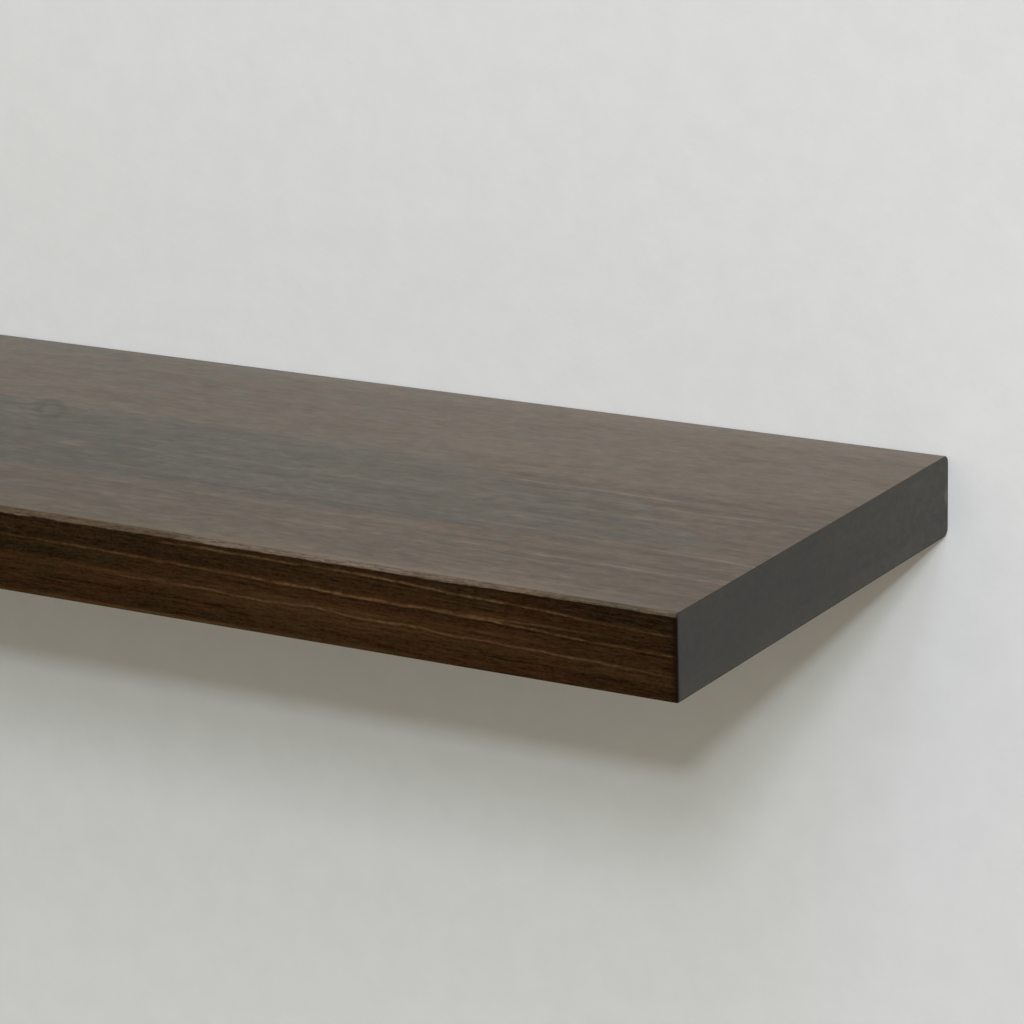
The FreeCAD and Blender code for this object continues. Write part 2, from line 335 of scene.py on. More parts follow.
# How much darker the latewood under each line is, in levels.
LINE_A_SHADE = ((290, 0), (330, -4), (400, -4), (430, -1), (460, 0))
LINE_B_SHADE = ((150, -3), (230, -5), (270, -8), (300, -12), (385, -13), (415, -8), (460, -6))
LINE_C_SHADE = ((170, 0), (200, -5), (280, -6), (340, -6), (400, -3), (440, -5), (460, -5))
LINE_C = (
    (-460, -2.8), (-100, -4), (110, -1.6), (142, -2.4), (172, -2.9), (187, -3.3), (202, -2.8),
    (232, -3.4), (247, -4.1), (277, -3.7), (292, -4), (307, -4.9), (325, -4.9), (345, -5.7),
    (385, -6.5), (405, -7), (460, -8.7),
)
LINE_C_LEVELS = (
    (-460, 12), (-150, 6), (0, 10), (110, 2), (150, 3), (172, 2), (202, 11), (217, 7), (232, 15),
    (247, 17), (268, 17), (285, 25), (305, 16), (327, 21), (345, 12), (365, 13), (382, 10),
    (400, 18), (425, 15), (445, 10), (460, 16),
)
# Where line B turns orange and line C yellow, 0 to 1.
LINE_B_ORANGE = (
    (-460, 0.1), (240, 0.2), (266, 1), (280, 0.3), (300, 0.5), (320, 0.55), (350, 0.25),
    (400, 0.1), (460, 0.1),
)
LINE_C_YELLOW = (
    (-460, 0.2), (300, 0.3), (318, 0.8), (330, 1), (345, 0.4), (385, 0.3), (405, 1),
    (418, 0.3), (430, 0.7), (440, 0.3), (460, 0.3),
)
# Small marks of the front edge: x and z of each point of the path, then where along x the mark starts and
# ends, its levels and its half width.
FRONT_MARKS = (
    (145, -8.6, 190, -9.3, 150, 166, -11, 0.7),
    (145, -9.4, 190, -9.6, 172, 184, -12, 0.8),
    (225, -9.4, 255, -11.6, 230, 236, -10, 0.9),
    (225, -11, 255, -12, 240, 247, -13, 1.3),
    (365, -12.2, 395, -12.4, 370, 386, -12, 0.6),
    (355, -11, 385, -11.4, 362, 376, -9, 0.5),
    (325, -9.8, 350, -10.2, 332, 346, -9, 0.5),
    (355, -13.6, 380, -13.9, 358, 374, -9, 0.5),
    (390, -13.2, 440, -13.9, 398, 432, -8, 0.6),
    (385, -2, 440, -3.4, 392, 436, -6, 0.9),
    (290, -0.9, 330, -1.7, 294, 322, -6, 0.6),
    (340, -1.6, 380, -2.6, 344, 376, 7, 0.7),
    (270, -10.2, 330, -10.6, 280, 316, 8, 0.6),
    (140, -9.9, 180, -10.4, 146, 172, 8, 0.7),
    (200, -10.3, 230, -10.6, 205, 226, 10, 0.7),
    (330, -12.4, 400, -13.4, 338, 388, 8, 0.7),
    (180, -3.2, 200, -3.4, 215, -3.9, 182, 214, 12, 0.7),
    (150, -1.4, 220, -2, 150, 206, 9, 1.2),
    (210, -3.1, 230, -2.9, 212, 230, 12, 0.9),
    (100, 2.4, 200, 1.6, 100, 190, -5, 2.6),
    (100, -4.6, 160, -5, 100, 150, -5, 1.8),
    (300, -8.6, 430, -9.6, 318, 420, -5, 2),
    (270, -14.6, 340, -15, 284, 326, -5, 2),
    (230, 11.4, 340, 10.8, 240, 325, -4, 2.2),
    (190, -1.2, 340, -2, 200, 330, 5, 1.8),
    (350, 5.3, 390, 5.2, 358, 388, 9, 1.6),
    (100, -7.6, 240, -8.2, 100, 235, 4, 1.6),
    (300, 6.4, 430, 5.2, 312, 425, 4, 2),
    (220, -1.4, 430, -3.4, 225, 425, 3.5, 1.6),
    (300, 1.6, 370, 0.6, 305, 365, -4, 1.6),
    (100, -10.4, 240, -11.4, 100, 230, 4, 2.2),
    (100, -13.6, 230, -14.2, 100, 222, 4.5, 2.6),
    (215, 13.4, 290, 13.1, 222, 276, -6, 1.2),
    (100, 13.2, 200, 13.1, 100, 186, 4.5, 2),
)
# Redder and less red zones of the front edge, laid out as the marks are.
FRONT_REDS = (
    (250, 1.2, 400, -1.8, 285, 380, 2.8, 5),
    (100, 12.8, 260, 12.8, 100, 255, -1.7, 4.5),
    (100, 4.6, 200, 4.2, 100, 200, -1.8, 3.5),
    (300, 5.6, 400, 4.6, 312, 372, 2.5, 2.5),
    (340, -16, 460, -16.5, 350, 460, 1.6, 4),
    (280, -5.6, 400, -8, 283, 400, 0.8, 3),
)
# How much lighter the lower arris is, in levels.
# How worn the upper one is and how much painted sheen it shows, 0 to 1, and how bright.
LOW_ARRIS_LEVELS = ((-460, 8), (120, 12), (200, 16), (250, 12), (300, 10), (350, 3), (460, 2))
ARRIS_WEAR_AND_SHEEN = (
    (-460, 0.5), (-300, 0.1), (-150, 0.7), (0, 0.3), (110, 0.1), (200, 0.1), (232, 0.72),
    (262, 0.75), (290, 1), (318, 0.82), (335, 0.6), (385, 0.5), (405, 0.25), (460, 0.25),
)
ARRIS_GAIN = (
    (-460, 1), (120, 1), (150, 0.96), (205, 0.94), (235, 1), (415, 1), (432, 1.06), (446, 1.22),
)
# How far down the front edge the arris colour reaches past its usual height.
ARRIS_LOWER = (
    (-460, 0.2), (215, 0.2), (245, 0.05), (275, 0), (330, 0.05), (350, 0.3), (366, 0.1),
    (385, -0.1), (400, 0), (430, -0.3), (446, 0.05), (460, 0.05),
)
# How strong the painted highlight on the top just behind the arris is.
TOP_RIM_HIGHLIGHT = ((265, 0), (290, 0.55), (318, 1), (350, 0.6), (385, 0.4), (405, 0.3), (440, 0.4), (455, 0))

# Tone of the top from front to rear, and what x adds to it everywhere and at the rear.
TOP_TONE = (
    (-254, 102), (-235, 101), (-200, 101), (-150, 102.3), (-112, 104.5), (-98, 108),
    (-60, 109.5), (-35, 110.5), (-18, 113), (-6, 115.5), (0, 116),
)
TOP_ALONG = ((-460, 0), (-250, -2), (-50, 0.5), (60, -1), (160, 0), (330, 1.2), (460, -1.5))
REAR_ALONG = ((-460, -2), (-60, -2), (60, 0), (200, 4), (330, 5), (460, 5))
# Fine lines of the top, laid out as the marks are. Two paths carry two lines each.
LONG_PATH = (100, -176, 210, -177, 330, -179, 390, -182.9, 460, -185.9)
FRONT_PATH = (100, -241.8, 460, -241.8)
TOP_LINES = (
    (260, -116.6, 450, -117.6, 290, 400, 6, 1.7),
    (340, -128.5, 460, -129, 355, 470, 6, 1.7),
    (100, -147.3, 460, -145.3, 110, 400, 3.5, 3),
    (*LONG_PATH, 105, 225, 4.5, 1.6),
    (*LONG_PATH, 320, 470, 5.5, 1.8),
    (60, -196.8, 320, -197.3, 50, 320, 4.5, 1.5),
    (300, -207.6, 390, -210.1, 460, -212.6, 318, 470, 6.5, 1.9),
    (50, -215.1, 270, -214.6, 400, -218, 60, 400, 3.5, 1.6),
    (*FRONT_PATH, 100, 180, 3, 1.6),
    (*FRONT_PATH, 375, 430, 4.5, 1.6),
    (260, -108.7, 460, -112.7, 285, 470, -4, 3.2),
    (240, -122.6, 460, -123.5, 260, 440, -3, 1.8),
    (340, -137.4, 460, -138.9, 345, 440, -3, 2.2),
    (60, -158.2, 460, -157.2, 90, 400, -2.5, 4),
    (100, -181.9, 270, -183.9, 360, -187.9, 460, -190.8, 110, 440, -3.5, 1.7),
    (300, -202.7, 400, -203.7, 460, -206.7, 300, 470, -4, 2),
    (300, -214.1, 400, -215.1, 460, -216.5, 320, 440, -6, 1.7),
    (50, -202.7, 110, -210.6, 300, -204.7, 40, 150, -3, 2.2),
    (380, -235.3, 460, -235.3, 385, 440, -3.5, 2),
)
# How far towards the right end the grey-green band reaches, from front to rear.
BAND_REACH = (
    (-200, 240), (-194, 250), (-188, 310), (-180, 375), (-170, 412), (-155, 412),
    (-147, 380), (-125, 362), (-118, 300), (-104, 258), (-96, 190),
)
# Soft spots of the top: x, y, half length, half width, then levels or greyness.
TOP_TONE_PATCHES = (
    (8, -109, 16, 3.5, -6),
    (25, -119, 12, 3, 6),
    (84, -156, 9, 6, 5),
    (84, -43, 7, 4, -4),
    (43, -52, 22, 8, -2),
)
TOP_BAND_PATCHES = (
    (74, -122, 24, 8, 0.5),
    (84, -156, 10, 7, -1),
    (62, -163, 9, 6, -0.6),
    (43, -52, 22, 9, 0.6),
    (-20, -14, 45, 7, 0.7),
    (70, -14, 40, 6, 0.55),
    (24, -119, 9, 4, -0.6),
    # painted shade along the rear edge, where the top meets the wall
    (0, -3, 160, 4, 0.7),
)
# The knot's middle, the direction of its long side, and its half length and half width.
KNOT = (37, -110)
KNOT_ALONG = (0.61, -0.79)
KNOT_HALF = (17, 7.5)
# A nick in the front edge at x, z, and a scuff on the right end at y, z.
NICK_PLACE = (121.3, 11.7)
SCUFF_PLACE = (-2.6, 0.5)

# Base colours by tone: dark heartwood edge, brown top, grey-green band of the top, end grain.
FRONT_RAMP = (
    (0, (0.0105, 0.0047, 0.0014)),
    (0.24, (0.0198, 0.0086, 0.0023)),
    (0.5, (0.0342, 0.0157, 0.0046)),
    (0.8, (0.0565, 0.0285, 0.0106)),
    (1, (0.075, 0.0368, 0.0142)),
)
FRONT_LEVELS = (30, 80)
TOP_BROWN = (
    (0.06, (0.032, 0.0135, 0.0015)),
    (0.23, (0.048, 0.0235, 0.004)),
    (0.4, (0.064, 0.0375, 0.014)),
    (0.57, (0.0805, 0.0525, 0.0275)),
    (0.74, (0.098, 0.0685, 0.042)),
    (0.97, (0.123, 0.0915, 0.063)),
)
TOP_OLIVE = (
    (0.06, (0.018, 0.012, 0.0015)),
    (0.23, (0.031, 0.023, 0.005)),
    (0.4, (0.0455, 0.037, 0.017)),
    (0.57, (0.061, 0.052, 0.0307)),
    (0.74, (0.0776, 0.068, 0.0454)),
)
TOP_LEVELS = (90, 125)
END_DARK = ((0.41, (0.0006, 0.0002, 0)), (0.59, (0.0135, 0.01, 0.0028)))
END_PALE = ((0.41, (0.0095, 0.0085, 0.0048)), (0.59, (0.0325, 0.03, 0.0232)))
# The upper arris: worn lighter, with painted sheen.
ARRIS_DULL = (0.068, 0.045, 0.027)
ARRIS_BRIGHT = (0.124, 0.093, 0.071)
ARRIS_RIGHT = (0.0736, 0.058, 0.038)
# Painted highlight on the top just behind the arris.
TOP_RIM_HIGHLIGHT_COLOUR = (0.0216, 0.0192, 0.0168)
STRIP_COLOUR = (0.086, 0.052, 0.026)
# Painted shade on the front edge just under the arris.
UNDER_ARRIS_SHADE_COLOUR = (0.01, 0.0042, 0.0011)
LINE_ORANGE = (0.084, 0.031, 0.007)
LINE_YELLOW = (0.058, 0.037, 0.008)
NICK_COLOUR = (0.06, 0.036, 0.014)
SCUFF_COLOUR = (0.115, 0.105, 0.09)
END_RIM_COLOUR = (0.016, 0.01, 0.0035)
# Darker along the front right corner, on the front and on the end.
CORNER_DARKENING = (0.0045, 0.0025, 0.001)
STAIN_FLOOR = (0.003, 0.0016, 0.0006)
# Small steps of colour that the patterns add or take away.
FRONT_ONE_LEVEL = (0.00115, 0.00075, 0.00045)
FRONT_ONE_REDDER = (0.00115, -0.00025, 0)
TOP_ONE_WARMER = (0.001, 0, -0.0024)
TOP_RIGHT_RED = (0.0045, 0, 0)
END_LESS_BLUE = (0.0004, 0, 0.0032)
END_LOWER_LIGHT = (0.004, 0.0038, 0.0014)
END_REAR_LIGHT = (0.007, 0.0072, 0.0045)
# Bare wood and metals.
RAW_WOOD = ((0.25, (0.3, 0.175, 0.08)), (0.5, (0.46, 0.3, 0.155)), (0.75, (0.58, 0.41, 0.24)))
RAW_WOOD_STAINED = (0.05, 0.027, 0.012)
BAR_COAT = ((0.3, (0.012, 0.012, 0.013)), (0.7, (0.034, 0.034, 0.035)))
ROD_STEEL = ((0.3, (0.36, 0.35, 0.335)), (0.7, (0.6, 0.595, 0.58)))
SCREW_OXIDE = ((0.3, (0.075, 0.073, 0.075)), (0.7, (0.16, 0.152, 0.146)))
INSERT_BRASS = ((0.3, (0.36, 0.24, 0.085)), (0.7, (0.66, 0.48, 0.2)))
# Where things begin and end, in mm: the arris and the painted shade under it over the front edge,
# the worn strip and the painted highlight rim over the top, and the darker band at the right corner.
FRONT_ARRIS_Z = (16.9, 17.55)
UNDER_ARRIS_Z = (15.8, 16.8)
LOW_ARRIS_Z = (-17.5, -16.7)
STRIP_Y = (-250.5, -246)
HIGHLIGHT_START_Y = (-252.4, -251.2)
HIGHLIGHT_END_Y = (-250.2, -248.2)
ARRIS_RIGHT_X = (385, 403)
FRONT_CORNER_X = (453, 456.6)
END_CORNER_Y = (-253.6, -250.5)
# Over how many mm the ends of the marks and lines fade in and out.
MARK_FADE = 5
RED_FADE = 12
TOP_LINE_FADE = 18
# A noise keeps mostly within a quarter of its middle, and this gain makes that about +- 1.
NOISE_GAIN = 4.0


def levels(w, pattern, amount):
    """A noise turned into a tone change of about +- amount levels."""
    return w.swing(pattern, amount * NOISE_GAIN)


def light_line(w, x, v, path, soft, strength):
    """A light growth line: crisp on its lower side, fading over soft mm on its upper side."""
    rise = w.sub(v, w.curve(x, path))
    return w.mul(w.span(rise, -0.55, -0.1), w.fall(rise, 0.1, soft), w.curve(x, strength))


def strokes(w, x, v, table, fade):
    """The sum of a table of short lines, each one fading in and out over fade mm at its ends."""
    parts = []
    for *path, start, end, amount, half in table:
        points = list(zip(path[::2], path[1::2]))
        away = w.absolute(w.sub(v, w.curve(x, points)))
        along = w.mul(w.span(x, start - fade, start + fade), w.fall(x, end - fade, end + fade))
        parts.append(w.mul(w.fall(away, half * 0.2, half), along, amount))
    return w.add(*parts)


def fibres(w, x, y, z):
    """Coordinates across the growth rings, and the fine and broad patterns along them."""
    sway = w.grain((x, 0.006), (y, 0.012), (z, 0.05))
    ring_y = w.add(y, w.swing(sway, 9))
    ring_z = w.add(z, w.curve(x, RING_DROP))
    fine = w.grain((x, 0.045), (ring_y, 1), (ring_z, 1.1), 5, 0.66)
    broad = w.grain((x, 0.01), (ring_y, 0.1), (ring_z, 0.3), 3)
    return ring_y, ring_z, fine, broad


def wood_relief(w, x, y, z, fine):
    """Fibre relief and fine sanding marks."""
    pores = w.grain((x, 0.12), (y, 2.6), (z, 2.6))
    return w.bump(w.blend((fine, 0.6), (pores, 0.4)), 0.25, 0.10 * MM)


def arris_wear_and_sheen(w, x, y, z):
    """The front-top arris: its wear and painted sheen, its colour, how ragged its borders are, and its
    grit.
    """
    rub = w.grain((x, 0.13), (y, 0.5), (z, 0.5), 4, 0.65)
    chips = w.grain((x, 0.3), (y, 1.3), (z, 1.3), 4, 0.72)
    streak = w.grain((x, 0.05), (y, 1.7), (z, 1.7), 3, 0.6)
    grit = w.blend((chips, 0.6), (streak, 0.4))
    wear_and_sheen = w.math("ADD", w.curve(x, ARRIS_WEAR_AND_SHEEN), w.swing(rub, 0.9), clamp=True)
    colour = w.mix(wear_and_sheen, ARRIS_DULL, ARRIS_BRIGHT)
    colour = w.mix(w.span(x, *ARRIS_RIGHT_X), colour, ARRIS_RIGHT)
    gain = w.mul(w.ratio(grit, 0.38, 0.62, 0.55, 1.50), w.curve(x, ARRIS_GAIN))
    ragged = w.sub(w.blend((rub, 0.7), (grit, 0.3)), 0.5)
    return wear_and_sheen, w.scaled(colour, gain), ragged, grit


def front_lines(w, x, z_line, ring_z):
    """Light growth lines of the front edge: upper ones, lower ones, orange share, yellow share."""
    patchy = w.grain((x, 0.09), 3.7, (ring_z, 0.25), 3, 0.6)
    flick = w.grain((x, 0.33), 6.1, (ring_z, 0.5), 2, 0.6)
    broken = w.mul(w.span(patchy, 0.3, 0.62, 0.55, 1.25), w.span(flick, 0.32, 0.66, 0.55, 1.35))
    line_a = light_line(w, x, z_line, LINE_A, 1.2, LINE_A_LEVELS)
    line_b = light_line(w, x, z_line, LINE_B, w.curve(x, LINE_B_SOFT), LINE_B_LEVELS)
    fork = light_line(w, x, z_line, FORK, 1, FORK_LEVELS)
    line_c = light_line(w, x, z_line, LINE_C, 1.2, LINE_C_LEVELS)
    upper = w.mul(line_a, broken)
    lower = w.mul(w.add(line_b, fork, line_c), broken)
    orange = w.mul(line_b, broken, 0.014, w.curve(x, LINE_B_ORANGE))
    yellow = w.mul(line_c, broken, 0.022, w.curve(x, LINE_C_YELLOW))
    return upper, lower, orange, yellow


def dark_line(w, x, v, path, strength):
    """The dark latewood just below a light line."""
    away = w.absolute(w.add(w.sub(v, w.curve(x, path)), 1.05))
    return w.mul(w.fall(away, 0.15, 0.6), w.curve(x, strength))


def nick(w, x, z):
    """1 on a small bent scratch of the front edge, 0 away from it."""
    off_x, off_z = w.sub(x, NICK_PLACE[0]), w.sub(z, NICK_PLACE[1])
    bent = w.add(off_x, w.mul(off_z, 1.1), w.mul(off_z, off_z, -0.18))
    return w.mul(w.fall(w.absolute(bent), 0.2, 0.55), w.fall(w.absolute(off_z), 1.2, 2))


def front_material():
    """Stained front edge: rings as lines, worn light arrises, the upper one with painted sheen,
    and darker along the right corner.
    """
    material, w, place = new_material("walnut_stain_front")
    x, y, z = w.split(place)
    _, ring_z, fine, broad = fibres(w, x, y, z)
    speck = w.grain((x, 0.5), (y, 0.8), (z, 1.15), 3, 0.75)
    dash = w.grain((x, 0.16), (y, 0.8), (ring_z, 1.45), 3, 0.65)
    ripple = w.grain((x, 0.055), 1.9, (z, 0.04), 4, 0.6)
    z_line = w.add(z, w.swing(ripple, 2.2))
    upper, lower, orange, yellow = front_lines(w, x, z_line, ring_z)
    tone = w.add(
        w.curve(ring_z, RING_TONE),
        w.curve(x, FRONT_ALONG),
        w.mul(upper, 0.65),
        w.mul(lower, 0.73),
        dark_line(w, x, z_line, LINE_A, LINE_A_SHADE),
        dark_line(w, x, z_line, LINE_B, LINE_B_SHADE),
        dark_line(w, x, z_line, LINE_C, LINE_C_SHADE),
        strokes(w, x, z_line, FRONT_MARKS, MARK_FADE),
        w.mul(w.fall(z, *LOW_ARRIS_Z), w.curve(x, LOW_ARRIS_LEVELS)),
        levels(w, fine, 3.5),
        levels(w, broad, 5.5),
    )
    colour = w.ramp(w.ratio(tone, *FRONT_LEVELS), FRONT_RAMP)
    colour = w.mix(w.math("MINIMUM", orange, 0.8), colour, LINE_ORANGE)
    colour = w.mix(w.math("MINIMUM", yellow, 0.8), colour, LINE_YELLOW)
    neutral = w.add(levels(w, speck, 9), levels(w, dash, 8.5), levels(w, fine, 6))
    neutral = w.add(neutral, w.blend((upper, 0.65), (lower, 0.48)))
    colour = w.tinted(colour, FRONT_ONE_LEVEL, neutral)
    hue = w.grain((x, 0.03), 4.4, (ring_z, 0.12), 4, 0.65)
    reds = strokes(w, x, z_line, FRONT_REDS, RED_FADE)
    colour = w.tinted(colour, FRONT_ONE_REDDER, w.add(reds, levels(w, hue, 3)))
    colour = w.vector("MAXIMUM", colour, STAIN_FLOOR)
    colour = w.mix(w.mul(nick(w, x, z), 0.5), colour, NICK_COLOUR)
    # Darker towards the front right corner.
    colour = w.mix(w.span(x, *FRONT_CORNER_X, 0, 0.85), colour, CORNER_DARKENING)

    _, arris_colour, ragged, _ = arris_wear_and_sheen(w, x, y, z)
    border = w.add(z, w.curve(x, ARRIS_LOWER), w.mul(ragged, 1.6))
    # Painted shade on the front edge just under the arris.
    under_arris_shade = w.mul(w.span(border, *UNDER_ARRIS_Z), w.span(x, 250, 360, 0.15, 0.45))
    colour = w.mix(under_arris_shade, colour, UNDER_ARRIS_SHADE_COLOUR)
    # The upper arris: worn lighter, with painted sheen.
    arris = w.mul(w.span(border, *FRONT_ARRIS_Z), w.span(x, 455.3, 456.8, 1, 0.45))
    colour = w.mix(arris, colour, arris_colour)

    rough = w.span(fine, 0.3, 0.7, 0.46, 0.56)
    finish_surface(w, colour, rough, wood_relief(w, x, y, z, fine), Specular_IOR_Level=0.05)
    return material


def soft_patches(w, x, y, table):
    """Soft ovals on the top, each one its amount in the middle and 0 outside."""
    parts = []
    for x_mid, y_mid, half_long, half_wide, amount in table:
        along = w.mul(w.sub(x, x_mid), 1 / half_long)
        across = w.mul(w.sub(y, y_mid), 1 / half_wide)
        apart = w.add(w.mul(along, along), w.mul(across, across))
        parts.append(w.mul(w.fall(apart, 0.15, 1.2), amount))
    return parts


def knot_flow(w, x, y, up):
    """The knot pushes the fibres aside: distance from it, its roughness, and y along the fibres."""
    from_x, from_y = w.sub(x, KNOT[0]), w.sub(y, KNOT[1])
    long = w.blend((from_x, KNOT_ALONG[0]), (from_y, KNOT_ALONG[1]))
    wide = w.sub(w.mul(from_y, KNOT_ALONG[0]), w.mul(from_x, KNOT_ALONG[1]))
    long, wide = w.mul(long, 1 / KNOT_HALF[0]), w.mul(wide, 1 / KNOT_HALF[1])
    rough = w.grain((x, 0.12), (y, 0.12), 5, 3, 0.65)
    apart = w.add(w.math("SQRT", w.add(w.mul(long, long), w.mul(wide, wide))), w.swing(rough, 1.5))
    near = w.mul(w.fall(apart, 0.6, 3.2), up)
    return apart, rough, w.add(y, w.mul(near, w.math("SIGN", from_y), -6))


def top_lines(w, x, y, y_line):
    """Fine lines and soft spots of the top, in levels."""
    broken = w.span(w.grain((x, 0.06), (y, 0.2), 1.3), 0.32, 0.6, 0.45, 1.3)
    lines = strokes(w, x, y_line, TOP_LINES, TOP_LINE_FADE)
    shapes = w.add(lines, *soft_patches(w, x, y, TOP_TONE_PATCHES))
    return w.mul(shapes, w.mul(broken, w.span(x, 240, 360, 1.35, 1.7)))


def latewood_ticks(w, x, y):
    """Short dark and light dashes of latewood towards the front right."""
    tick = w.grain((x, 0.065), (y, 0.75), 8, 3, 0.65)
    where = w.mul(w.fall(y, -206, -192), w.span(x, 240, 310, 0.25, 1))
    return w.mul(w.sub(w.fall(tick, 0.3, 0.44), w.span(tick, 0.55, 0.66)), where)


def green_band(w, x, y, y_line, blot, dashes, cloud, apart):
    """Share of the grey-green heartwood in the top's colour, and of painted shade at the rear edge."""
    band_y = w.add(y, w.add(w.swing(blot, 14), w.swing(dashes, 16)))
    band = w.mul(w.fall(band_y, -105, -94), w.span(band_y, -197, -186))
    ahead = w.sub(w.add(x, w.swing(blot, 110)), w.curve(band_y, BAND_REACH))
    band = w.mul(band, w.fall(ahead, -45, 40))
    band = w.mul(band, w.span(w.absolute(w.add(y_line, 147)), 1, 4.5, 0.7, 1))
    band = w.math("MAXIMUM", band, w.fall(apart, 0.8, 1.4))
    band = w.add(band, *soft_patches(w, x, y, TOP_BAND_PATCHES))
    rear_left = w.mul(w.span(y, -70, -30, 0, 0.75), w.span(x, 60, 260, 1, 0.25))
    greyed = w.mul(w.span(cloud, 0.5, 0.66), rear_left)
    # Painted shade along the rear edge, where the top meets the wall: a greyer, darker line.
    rear_edge_shade = w.span(y, -5.5, -2, 0, 0.7)
    return w.add(band, greyed, rear_edge_shade, 0.08)


def top_material():
    """Stained top, underside and back: brown with a grey-green band, fine lines and a knot on the top."""
    material, w, place = new_material("walnut_stain_faces")
    x, y, z = w.split(place)
    _, ny, nz = w.split(w.node("ShaderNodeTexCoord").outputs["Normal"])
    up = w.span(nz, 0.2, 0.6)
    blot = w.grain((x, 0.02), (y, 0.03), (z, 0.08), 3)
    cloud = w.grain((x, 0.045), (y, 0.085), (z, 0.1), 3, 0.6)
    mottle = w.grain((x, 0.16), (y, 0.26), (z, 0.24), 3, 0.7)
    tint = w.grain((x, 0.12), (y, 0.2), w.add(w.mul(z, 0.2), 21), 3, 0.65)
    warm = w.grain((x, 0.05), (y, 0.1), w.add(w.mul(z, 0.1), 31), 4, 0.65)
    apart, knot_rough, y_flow = knot_flow(w, x, y, up)
    ring_y, ring_z, fine, broad = fibres(w, x, y_flow, z)
    dashes = w.grain((x, 0.085), (ring_y, 0.45), (ring_z, 0.8), 4, 0.66)
    ripple = w.grain((x, 0.03), (y, 0.02), 2.6, 4, 0.6)
    y_line = w.add(y, w.swing(ripple, 4.5))
    knot_rim = w.mul(w.fall(w.absolute(w.sub(apart, 0.85)), 0.05, 0.5), up)
    tone = w.add(
        w.curve(y, TOP_TONE),
        w.curve(x, TOP_ALONG),
        w.mul(w.span(y, -24, -8), w.curve(x, REAR_ALONG)),
        w.mul(top_lines(w, x, y, y_line), up),
        levels(w, dashes, 10),
        levels(w, fine, 4.5),
        levels(w, broad, 4.5),
        levels(w, mottle, 6.5),
        levels(w, cloud, 3.2),
        w.mul(latewood_ticks(w, x, y), up, 6.5),
        w.mul(knot_rim, w.span(knot_rough, 0.36, 0.6, 0.35, 1.15), -11),
    )

    flecks = w.add(w.swing(cloud, 1), w.swing(tint, 5.2))
    band = w.mul(green_band(w, x, y, y_line, blot, dashes, cloud, apart), up)
    band = w.math("ADD", band, flecks, clamp=True)
    level = w.ratio(tone, *TOP_LEVELS)
    colour = w.mix(band, w.ramp(level, TOP_BROWN), w.ramp(level, TOP_OLIVE))
    front_left = w.mul(w.fall(y, -252, -225), w.fall(x, 200, 330), up)
    colour = w.tinted(colour, TOP_ONE_WARMER, w.add(levels(w, warm, 2.2), w.mul(front_left, 1.8)))
    colour = w.tinted(colour, TOP_RIGHT_RED, w.mul(w.span(x, 170, 320), up))

    wear_and_sheen, arris_colour, ragged, grit = arris_wear_and_sheen(w, x, y, z)
    strip_y = w.add(y, w.mul(ragged, 9))
    strip = w.mul(w.fall(strip_y, *STRIP_Y), wear_and_sheen, up)
    strip_colour = w.scaled(STRIP_COLOUR, w.ratio(grit, 0.36, 0.64, 0.84, 1.18))
    colour = w.mix(w.mul(strip, 0.85), colour, strip_colour)
    # The arris: worn lighter, with painted sheen.
    arris = w.mul(w.span(w.mul(ny, -1, nz), 0.1, 0.3), up)
    colour = w.mix(arris, colour, arris_colour)
    # A painted highlight along the top just behind the arris, and towards the front right.
    rim = w.mul(w.span(y, *HIGHLIGHT_START_Y), w.fall(y, *HIGHLIGHT_END_Y), w.curve(x, TOP_RIM_HIGHLIGHT))
    front_right_highlight = w.mul(w.span(y, -246, -236, 0.55, 0), w.span(x, 322, 345), w.fall(x, 434, 450))
    colour = w.tinted(colour, TOP_RIM_HIGHLIGHT_COLOUR, w.mul(w.add(rim, front_right_highlight), up))

    rough = w.span(fine, 0.3, 0.7, 0.34, 0.42)
    finish_surface(w, colour, rough, wood_relief(w, x, y, z, fine), Specular_IOR_Level=0.5)
    return material


